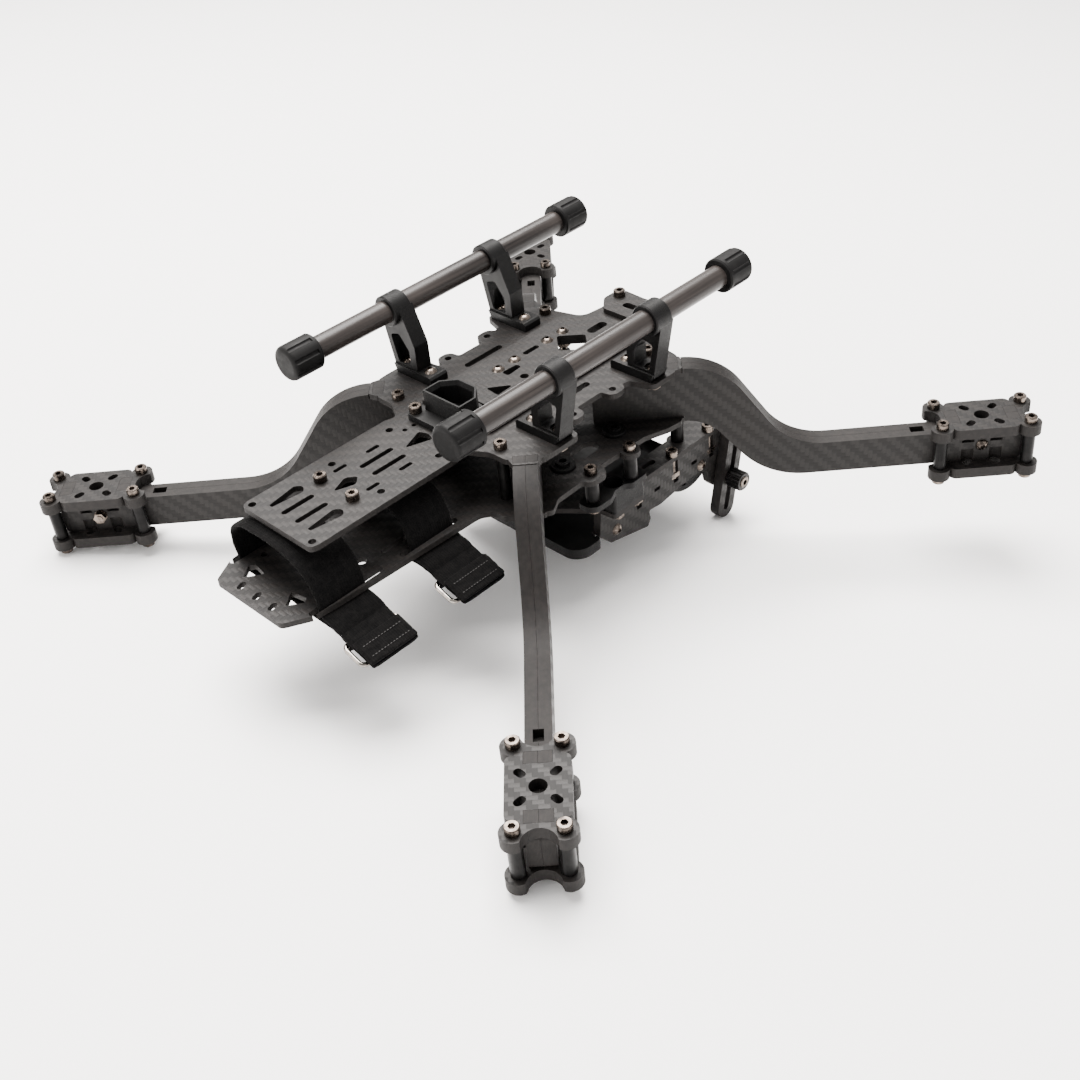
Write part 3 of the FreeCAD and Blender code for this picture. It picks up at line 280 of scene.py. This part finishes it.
def woven_carbon(name, warp, weft, through, sheen=0.34, contrast=1.0):
    """Twill over warp and weft directions, layers where the surface doesn't face through."""
    material, tree, shader = finish_of(name, roughness=sheen)
    shader.inputs["Specular IOR Level"].default_value = 0.18
    place, facing = place_on_piece(tree)
    across_warp = arith(tree, "DIVIDE", along(tree, place, warp), TOW)
    across_weft = arith(tree, "DIVIDE", along(tree, place, weft), TOW)
    column = arith(tree, "FLOOR", across_warp)
    row = arith(tree, "FLOOR", across_weft)
    step = arith(tree, "FLOORED_MODULO", arith(tree, "ADD", column, row), 4.0)
    warp_on_top = arith(tree, "LESS_THAN", step, 1.5)
    in_warp = arith(tree, "FRACT", across_warp)
    in_weft = arith(tree, "FRACT", across_weft)
    crown_warp = arith(tree, "SINE", arith(tree, "MULTIPLY", in_warp, math.pi))
    crown_weft = arith(tree, "SINE", arith(tree, "MULTIPLY", in_weft, math.pi))
    crown = choose(tree, warp_on_top, crown_weft, crown_warp)
    fine_warp = arith(tree, "MULTIPLY", across_warp, FIBRES_PER_TOW)
    fibres_warp = mottle(tree, combine(tree, fine_warp, across_weft, 0.0), 1.0)
    fine_weft = arith(tree, "MULTIPLY", across_weft, FIBRES_PER_TOW)
    fibres_weft = mottle(tree, combine(tree, across_warp, fine_weft, 7.0), 1.0)
    fibres = choose(tree, warp_on_top, fibres_weft, fibres_warp)
    # Painted sheen: where the warp lies on top, its bundle is painted paler than the weft's.
    tone = arith(tree, "ADD", arith(tree, "MULTIPLY", warp_on_top, 0.55),
                 arith(tree, "MULTIPLY", fibres, 0.45))
    # Painted highlight and shade: each bundle paler on its crown, darker towards its edges where it dips
    # under.
    tone = arith(tree, "MULTIPLY", tone, arith(tree, "ADD", arith(tree, "MULTIPLY", crown, 0.5), 0.5))
    tone = arith(tree, "ADD", arith(tree, "MULTIPLY", tone, contrast), 0.22 * (1.0 - contrast))
    weave_colour = blend_colours(tree, tone, DARK_TOW, PALE_TOW)
    depth_in_plate = along(tree, place, through)
    wander = arith(tree, "MULTIPLY", mottle(tree, place, 60.0), 0.35)
    ply = arith(tree, "FRACT", arith(tree, "ADD", arith(tree, "DIVIDE", depth_in_plate, LAYER), wander))
    ply_line = arith(tree, "POWER", arith(tree, "SINE", arith(tree, "MULTIPLY", ply, math.pi)), 3.0)
    scuff = mottle(tree, place, 420.0, 3.0, 0.6)
    edge_share = arith(tree, "MULTIPLY", ply_line, spread(tree, scuff, 0.3, 0.75, 0.15, 1.0))
    edge_colour = blend_colours(tree, edge_share, CORE_LINE, RESIN_LINE)
    on_face = arith(tree, "GREATER_THAN", arith(tree, "ABSOLUTE", along(tree, facing, through)), 0.6)
    haze = mottle(tree, place, 38.0, 3.0, 0.55)
    hazed = blend_colours(tree, spread(tree, haze, 0.45, 0.8, 0.0, 0.22), weave_colour, RESIN_LINE)
    tree.links.new(blend_colours(tree, on_face, edge_colour, hazed), shader.inputs["Base Color"])
    face_rough = arith(tree, "ADD", choose(tree, warp_on_top, sheen + 0.10, sheen - 0.02),
                       arith(tree, "MULTIPLY", haze, 0.16))
    feed(tree, shader.inputs["Roughness"], choose(tree, on_face, 0.62, face_rough))
    feed_height = choose(tree, on_face, arith(tree, "MULTIPLY", ply_line, 0.5),
                         arith(tree, "ADD", arith(tree, "MULTIPLY", crown, 0.75),
                               arith(tree, "MULTIPLY", fibres, 0.25)))
    relief(tree, shader, feed_height, 0.06 * MM, 0.7)
    return material


DIAGONAL = math.sqrt(0.5)
X, Y, Z = (1, 0, 0), (0, 1, 0), (0, 0, 1)
FORWARD_LEFT = (DIAGONAL, DIAGONAL, 0)
FORWARD_RIGHT = (DIAGONAL, -DIAGONAL, 0)
level_carbon = woven_carbon("level_carbon", X, Y, Z)
pod_carbon = woven_carbon("pod_carbon", FORWARD_LEFT, FORWARD_RIGHT, Z, 0.36)
upright_carbon = woven_carbon("upright_carbon", X, Z, Y, 0.40, 0.6)
arm_carbon_left = woven_carbon("arm_carbon_left", FORWARD_LEFT, Z, FORWARD_RIGHT, 0.40, 0.35)
arm_carbon_right = woven_carbon("arm_carbon_right", FORWARD_RIGHT, Z, FORWARD_LEFT, 0.40, 0.35)
print("five cuts of woven carbon, bundles", TOW / MM, "mm wide")

# %% [markdown]
# ## Rolled carbon tube
# The landing rails are wrapped from long strips of carbon sheet and ground round. The grinding leaves a satin
# skin with streaks that run along the tube, and faint bands where one wrap ends.
# Noise squeezed along the tube gives the streaks. Squeezing is one multiplication of the X coordinate.

# %% rolled carbon


def rolled_carbon():
    """Satin grey tube with streaks along X and soft spiral bands."""
    material, tree, shader = finish_of("rolled_carbon", roughness=0.3)
    shader.inputs["Specular IOR Level"].default_value = 0.24
    place = place_on_piece(tree)[0]
    x = along(tree, place, X)
    y = along(tree, place, Y)
    z = along(tree, place, Z)
    streaks = mottle(tree, combine(tree, arith(tree, "MULTIPLY", x, 14.0), arith(tree, "MULTIPLY", y, 700.0),
                                   arith(tree, "MULTIPLY", z, 700.0)), 1.0, 3.0, 0.6)
    turn = arith(tree, "ADD", arith(tree, "MULTIPLY", x, 55.0), arith(tree, "MULTIPLY", z, 120.0))
    bands = arith(tree, "SINE", turn)
    patches = mottle(tree, place, 26.0, 3.0, 0.6)
    tone = arith(tree, "ADD", arith(tree, "MULTIPLY", streaks, 0.75), arith(tree, "MULTIPLY", bands, 0.07))
    tone = arith(tree, "ADD", tone, arith(tree, "MULTIPLY", patches, 0.3))
    colour = blend_colours(tree, spread(tree, tone, 0.3, 0.85, 0.0, 1.0), (0.0060, 0.0050, 0.0047),
                           (0.042, 0.035, 0.032))
    tree.links.new(colour, shader.inputs["Base Color"])
    feed(tree, shader.inputs["Roughness"], spread(tree, streaks, 0.3, 0.7, 0.26, 0.42))
    relief(tree, shader, streaks, 0.03 * MM, 0.5)
    return material


rail_finish = rolled_carbon()
print("rolled carbon ready")

# %% [markdown]
# ## Printed plastic
# The clamps, the cage's hangers, the connector's holder and the two trays come from a 3D printer. They are
# laid down in layers a little over a quarter of a millimetre thick, which show as fine ridges.
# One sine wave over the printing direction makes the ridges, and slow noise lets some layers stand out.

# %% printed plastic
PRINT_LAYER = 0.28 * MM


def printed_plastic(name, up, colour):
    """Matt plastic with ridges stacked in the printing direction."""
    material, tree, shader = finish_of(name, colour, 0.46)
    shader.inputs["Specular IOR Level"].default_value = 0.16
    place = place_on_piece(tree)[0]
    level = arith(tree, "DIVIDE", along(tree, place, up), PRINT_LAYER)
    ridge = arith(tree, "ABSOLUTE", arith(tree, "SINE", arith(tree, "MULTIPLY", level, math.pi)))
    layer_place = arith(tree, "MULTIPLY", arith(tree, "FLOOR", level), 0.7)
    uneven = mottle(tree, combine(tree, layer_place, 0.0, 0.0), 1.3)
    blotch = mottle(tree, place, 90.0, 3.0, 0.6)
    height = arith(tree, "ADD", arith(tree, "MULTIPLY", ridge, 0.6), arith(tree, "MULTIPLY", uneven, 0.4))
    tone = arith(tree, "ADD", arith(tree, "MULTIPLY", uneven, 0.5), arith(tree, "MULTIPLY", blotch, 0.5))
    pale = tuple(c * 2.0 + 0.0008 for c in colour)
    tree.links.new(blend_colours(tree, spread(tree, tone, 0.35, 0.7, 0.0, 0.6), colour, pale),
                   shader.inputs["Base Color"])
    feed(tree, shader.inputs["Roughness"], spread(tree, blotch, 0.3, 0.7, 0.38, 0.56))
    relief(tree, shader, height, 0.09 * MM, 0.8)
    return material


PRINT_BLACK = (0.0014, 0.0013, 0.0013)
printed_upright = printed_plastic("printed_upright", Z, PRINT_BLACK)
printed_sideways = printed_plastic("printed_sideways", X, PRINT_BLACK)
print("printed plastic, layers", PRINT_LAYER / MM, "mm")

# %% [markdown]
# ## Rubber caps and buffers
# The rails' caps are moulded rubber that keeps the tubes from scratching what they land on, and small rubber
# buffers sit on the lower plate. Rubber is dull, with patches of dust that make it a touch paler.

# %% rubber


def cap_rubber():
    """Dull black rubber with fine grain and pale dust."""
    material, tree, shader = finish_of("cap_rubber", (0.002, 0.002, 0.002), 0.6)
    shader.inputs["Specular IOR Level"].default_value = 0.14
    place = place_on_piece(tree)[0]
    grain = mottle(tree, place, 2600.0, 2.0)
    dust = mottle(tree, place, 140.0, 4.0, 0.65)
    tree.links.new(blend_colours(tree, spread(tree, dust, 0.5, 0.8, 0.0, 0.5), (0.0018, 0.0017, 0.0017),
                                 (0.0075, 0.0068, 0.0065)), shader.inputs["Base Color"])
    feed(tree, shader.inputs["Roughness"], spread(tree, dust, 0.3, 0.7, 0.48, 0.72))
    relief(tree, shader, grain, 0.05 * MM, 0.5)
    return material


cap_finish = cap_rubber()
print("rubber ready")

# %% [markdown]
# ## Metal
# Screws, nuts and washers are dark plated steel, turned and then tumbled, so their rims shine warm and their
# sockets stay dark. Standoffs and knobs are black anodised aluminium. The buckle rings are bright bent wire.
# All of them are one recipe: a metal colour, a little mottling, and fine turning marks or scratches as bump.

# %% metals


def metal(name, dark, pale, rough_low, rough_high, grain_scale, metallic=1.0):
    """A metal between two tones, with mottled roughness and fine scratches."""
    material, tree, shader = finish_of(name, pale, rough_low, metallic)
    shader.inputs["Specular IOR Level"].default_value = 0.5 if metallic == 1.0 else 0.12
    place = place_on_piece(tree)[0]
    cloud = mottle(tree, place, 240.0, 4.0, 0.6)
    grain = mottle(tree, place, grain_scale, 3.0, 0.6)
    tree.links.new(blend_colours(tree, spread(tree, cloud, 0.35, 0.68, 0.0, 1.0), dark, pale),
                   shader.inputs["Base Color"])
    feed(tree, shader.inputs["Roughness"], spread(tree, grain, 0.3, 0.7, rough_low, rough_high))
    relief(tree, shader, grain, 0.02 * MM, 0.4)
    return material


screw_steel = metal("screw_steel", (0.030, 0.025, 0.022), (0.200, 0.165, 0.140), 0.2, 0.36, 1800.0)
black_anodised = metal("black_anodised", (0.003, 0.003, 0.003), (0.009, 0.0085, 0.0085), 0.3, 0.45, 1500.0,
                       0.55)
knob_black = metal("knob_black", (0.003, 0.003, 0.003), (0.012, 0.011, 0.011), 0.25, 0.4, 1500.0, 0.6)
ring_wire = metal("ring_wire", (0.14, 0.13, 0.12), (0.34, 0.31, 0.28), 0.08, 0.18, 900.0)
print("four metals")

# %% [markdown]
# ## Dressing the frame
# Each ready-made piece takes its finish by assigning it to the material slot, which leaves the mesh alone.
# Names say what a piece is, so most pieces are dressed by the start of their name. An arm's two halves need
# the weave turned to the arm's own direction.

# %% dress the frame
BY_NAME = [
    ("arm_front_left", arm_carbon_left), ("arm_rear_right", arm_carbon_left),
    ("arm_front_right", arm_carbon_right), ("arm_rear_left", arm_carbon_right),
    ("arm_cross_bolts", screw_steel), ("motor_plate", pod_carbon), ("deck_plate", level_carbon),
    ("spine_plate", level_carbon), ("lower_plate", level_carbon), ("nose_bar", level_carbon),
    ("cage_top_plate", level_carbon), ("cage_side", upright_carbon), ("camera_bar", upright_carbon),
    ("rail_left", rail_finish), ("rail_right", rail_finish), ("rail_caps", cap_finish),
    ("rail_clamp", printed_sideways), ("cage_hangers", printed_upright), ("damper_rings", cap_finish),
    ("connector_holder", printed_upright), ("cage_tray", printed_upright),
    ("front_tray", printed_upright), ("deck_posts", black_anodised), ("pod_posts", black_anodised),
    ("cage_posts", black_anodised), ("bar_knob", knob_black), ("buckle_ring", ring_wire),
]


def finish_for(name):
    """The finish whose name start fits, or steel for every fastener."""
    chosen = screw_steel
    for start, material in BY_NAME:
        if name.startswith(start):
            chosen = material
    return chosen


for name, piece in nodes.items():
    for slot in piece.material_slots:
        slot.material = finish_for(name)
print("dressed", len(nodes), "nodes")

# %% [markdown]
# ## The table's surface
# A plain pale table. Its colour hardly varies, so a touch of slow mottling is enough.

# %% table surface
material, tree, shader = finish_of("pale_table", (0.93, 0.925, 0.92), 0.7)
place = place_on_piece(tree)[0]
tree.links.new(blend_colours(tree, mottle(tree, place, 3.0), (0.93, 0.925, 0.92), (0.95, 0.945, 0.94)),
               shader.inputs["Base Color"])
floor.data.materials.append(material)
print("table ready")

# %% [markdown]
# ## Battery straps
# Each strap is a band of hook-and-loop fabric, 22 mm wide and 1.6 mm thick. One end is sewn round a wire
# ring. From there the band goes up through a slot in the lower plate, arches over it, goes down through the
# far slot, back under the plate, and ends in a stitched tongue beside the ring.
# A band like that is modelled directly: a line seen from the side, smoothed, and a rounded cross-section
# swept along it. Smooth noise then makes the pile uneven and lets the edges wander, so it doesn't look like
# sheet metal.

# %% strap shape
STRAP_WIDTH = 22.0 * MM
STRAP_HALF_THICK = 0.8 * MM
EDGE_ROUND = 0.35 * MM
ROWS_PER_SPAN = 7
CORNER_CUTS = 3
WAVE_DEPTH, WAVE_SCALE = 0.25 * MM, 90.0
FUZZ_DEPTH, FUZZ_SCALE, EDGE_FUZZ_MM = 0.22 * MM, 700.0, 0.5
WANDER_DEPTH, WANDER_SCALE = 0.3 * MM, 120.0
SLOT_Y = 25.5 * MM
RING_Y = -39.3 * MM
RING_DROP = 7.9 * MM
LOOP_RADIUS = 2.15 * MM
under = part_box("lower_plate")[0][2]


def in_mm(points, height=0.0):
    """Side-view points (y, z) given in millimetres, with z counted from a height."""
    return [(y * MM, height + z * MM) for y, z in points]


def smooth_line(points, rows):
    """A soft curve through side-view points (y, z), in metres, rounded by repeated corner cutting."""
    line = [Vector(p) for p in points]
    for _ in range(CORNER_CUTS):
        cut = [line[0]]
        for here, following in zip(line, line[1:]):
            cut.append(here.lerp(following, 0.25))
            cut.append(here.lerp(following, 0.75))
        cut.append(line[-1])
        line = cut
    lengths = [0.0]
    for here, following in zip(line, line[1:]):
        lengths.append(lengths[-1] + (following - here).length)
    out = []
    index = 0
    for k in range(rows + 1):
        want = lengths[-1] * k / rows
        while index < len(lengths) - 2 and lengths[index + 1] < want:
            index += 1
        share = (want - lengths[index]) / max(lengths[index + 1] - lengths[index], 1e-9)
        out.append(line[index].lerp(line[index + 1], share))
    return out, lengths[-1]


def strap_outline(columns=12):
    """The band's cross-section: (across, up) pairs round a flat shape with rounded edges."""
    half = STRAP_WIDTH / 2
    thick = STRAP_HALF_THICK
    top = [(-half + STRAP_WIDTH * i / columns, thick) for i in range(columns + 1)]
    right = [(half + EDGE_ROUND, 0.0)]
    bottom = [(half - STRAP_WIDTH * i / columns, -thick) for i in range(columns + 1)]
    left = [(-half - EDGE_ROUND, 0.0)]
    return top + right + bottom + left


def sweep_strap(name, x_middle, points, seed):
    """A closed band along the line, its surface made uneven by noise."""
    mesh = bmesh.new()
    line, length = smooth_line(points, int(len(points) * ROWS_PER_SPAN))
    outline = strap_outline()
    rings = []
    for k, here in enumerate(line):
        ahead = line[min(k + 1, len(line) - 1)] - line[max(k - 1, 0)]
        ahead.normalize()
        up = Vector((-ahead.y, ahead.x))
        ring = []
        for across, rise in outline:
            spot = Vector((x_middle + across, here.x + up.x * rise, here.y + up.y * rise))
            wave = noise.noise(spot * WAVE_SCALE + Vector((seed, 0, 0)))
            fuzz = noise.noise(spot * FUZZ_SCALE + Vector((0, seed, 0)))
            push = WAVE_DEPTH * wave + FUZZ_DEPTH * fuzz
            side = 1.0 if rise > 0 else (-1.0 if rise < 0 else 0.0)
            spot += Vector((0, up.x, up.y)) * push * side
            drift = Vector((seed, here.x * WANDER_SCALE, here.y * WANDER_SCALE))
            spot.x += WANDER_DEPTH * noise.noise(drift)
            if rise == 0.0:
                spot.x += fuzz * EDGE_FUZZ_MM * MM
            ring.append(mesh.verts.new(spot))
        rings.append(ring)
    for ring, following in zip(rings, rings[1:]):
        for i in range(len(ring)):
            j = (i + 1) % len(ring)
            mesh.faces.new((ring[i], ring[j], following[j], following[i]))
    mesh.faces.new(rings[0][::-1])
    mesh.faces.new(rings[-1])
    bmesh.ops.recalc_face_normals(mesh, faces=mesh.faces)
    data = bpy.data.meshes.new(name)
    mesh.to_mesh(data)
    mesh.free()
    for face in data.polygons:
        face.use_smooth = True
    piece = bpy.data.objects.new(name, data)
    bpy.context.scene.collection.objects.link(piece)
    rounded = piece.modifiers.new("rounded", "SUBSURF")
    rounded.levels = 1
    rounded.render_levels = 1
    print(name, "is", round(length * 1000), "mm long")
    return piece, length


def strap_line(top):
    """The side view of the part of the band that goes round the ring and over the plate, up to a height."""
    middle = top - STRAP_HALF_THICK
    ring = Vector((RING_Y, under - RING_DROP))
    loop = []
    for angle in (250, 200, 150, 100, 60):
        turn = math.radians(angle)
        loop.append((ring.x + LOOP_RADIUS * math.cos(turn), ring.y + LOOP_RADIUS * math.sin(turn)))
    near = in_mm([(-35.0, -2.6), (-30.0, -1.7)], under)
    near += [(-SLOT_Y - 0.6 * MM, under - 1.1 * MM), (-SLOT_Y, under + 2.0 * MM)]
    near.append((-SLOT_Y + 0.4 * MM, under + 8.0 * MM))
    arch = in_mm([(-20.5, -6.0), (-12.0, -1.5), (0.0, 0.2), (12.0, 0.0), (20.0, -0.6), (26.6, -5.5),
                  (27.2, -12.0)], middle)
    back = [(SLOT_Y, under + 3.0 * MM), (SLOT_Y, under - 1.4 * MM)]
    back += in_mm([(18.0, -1.9), (0.0, -2.1), (-18.0, -3.1)], under)
    return loop + near + arch + back


# %% [markdown]
# ### Strap fabric
# The loop side of the band is a dense black pile that scatters light. A faint sheen gives the soft edge glow,
# and fine noise in bump and colour gives the pile. The hidden warp shows as faint ribs across the band.

# %% strap fabric


RIB_PITCH = 1.1 * MM


def strap_pile():
    """Black pile: sheen, tiny fibres and faint ribs."""
    material, tree, shader = finish_of("strap_pile", (0.004, 0.004, 0.004), 0.92)
    shader.inputs["Sheen Weight"].default_value = 0.03
    shader.inputs["Sheen Roughness"].default_value = 0.45
    shader.inputs["Sheen Tint"].default_value = (0.75, 0.73, 0.72, 1.0)
    shader.inputs["Specular IOR Level"].default_value = 0.06
    place = place_on_piece(tree)[0]
    fibre = mottle(tree, place, 2600.0, 4.0, 0.7)
    clump = mottle(tree, place, 420.0, 3.0, 0.6)
    rib = arith(tree, "SINE", arith(tree, "MULTIPLY", along(tree, place, X), 2.0 * math.pi / RIB_PITCH))
    tone = arith(tree, "ADD", arith(tree, "MULTIPLY", fibre, 0.6), arith(tree, "MULTIPLY", clump, 0.4))
    tree.links.new(blend_colours(tree, spread(tree, tone, 0.42, 0.72, 0.0, 1.0), (0.0008, 0.0008, 0.0009),
                                 (0.0060, 0.0055, 0.0053)), shader.inputs["Base Color"])
    height = arith(tree, "ADD", arith(tree, "MULTIPLY", tone, 0.9), arith(tree, "MULTIPLY", rib, 0.08))
    relief(tree, shader, height, 0.5 * MM, 0.9)
    return material


strap_finish = strap_pile()
thread_finish = finish_of("strap_thread", (0.020, 0.019, 0.018), 0.6)[0]
print("strap fabric ready")

# %% [markdown]
# ### Stitches
# Two rows of thread hold the tongue's folded end. Each stitch is a tiny grain-shaped bead laid flat on the
# cloth, and one mesh holds them all.

# %% stitches


STITCHES_PER_ROW = 13
STITCH_GAP_MM = 1.45
STITCH_SIZE = (0.55 * MM, 0.17 * MM, 0.15 * MM, 1.0)


def stitch_rows(name, x_middle, rows, slope):
    """Rows of small thread stitches across the band. Each row is a (y, z) place on the cloth."""
    mesh = bmesh.new()
    for y, z in rows:
        for k in range(STITCHES_PER_ROW):
            across = (k - STITCHES_PER_ROW // 2) * STITCH_GAP_MM * MM
            turn = Matrix.Rotation(slope, 4, "X") @ Matrix.Diagonal(STITCH_SIZE)
            where = Matrix.Translation((x_middle + across, y, z))
            bmesh.ops.create_uvsphere(mesh, u_segments=10, v_segments=6, radius=1.0, matrix=where @ turn)
    data = bpy.data.meshes.new(name)
    mesh.to_mesh(data)
    mesh.free()
    for face in data.polygons:
        face.use_smooth = True
    data.materials.append(thread_finish)
    piece = bpy.data.objects.new(name, data)
    bpy.context.scene.collection.objects.link(piece)
    return piece


# %% both straps
STITCH_SLOPE = math.atan2(1.7, 4.9)
stitch_places = in_mm([(-47.4, -5.15), (-52.4, -6.9)], under)
for name, seed in (("rear", 3.0), ("front", 11.0)):
    node = "strap_" + name
    low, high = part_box(node)
    x_middle = (low[0] + high[0]) / 2
    tongue_line = in_mm([(-26.0, -3.0), (-32.0, -3.2), (-40.0, -5.4), (-48.0, -8.0)], under)
    tongue_line.append((low[1] + 0.9 * MM, under - 10.2 * MM))
    whole_line = strap_line(high[2]) + tongue_line
    band, length = sweep_strap("strap_band_" + name, x_middle, whole_line, seed)
    fold_line = [(low[1] + 1.2 * MM, under - 8.7 * MM)] + in_mm([(-50.0, -6.9), (-43.6, -4.9)], under)
    fold, fold_length = sweep_strap("strap_fold_" + name, x_middle, fold_line, seed + 5.0)
    stitches = stitch_rows("strap_stitches_" + name, x_middle, stitch_places, STITCH_SLOPE)
    for piece in (band, fold):
        piece.data.materials.append(strap_finish)
        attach(piece, "airframe")
    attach(stitches, "airframe")
    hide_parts(node)
print("two straps")

# %% done
print("scene ready")
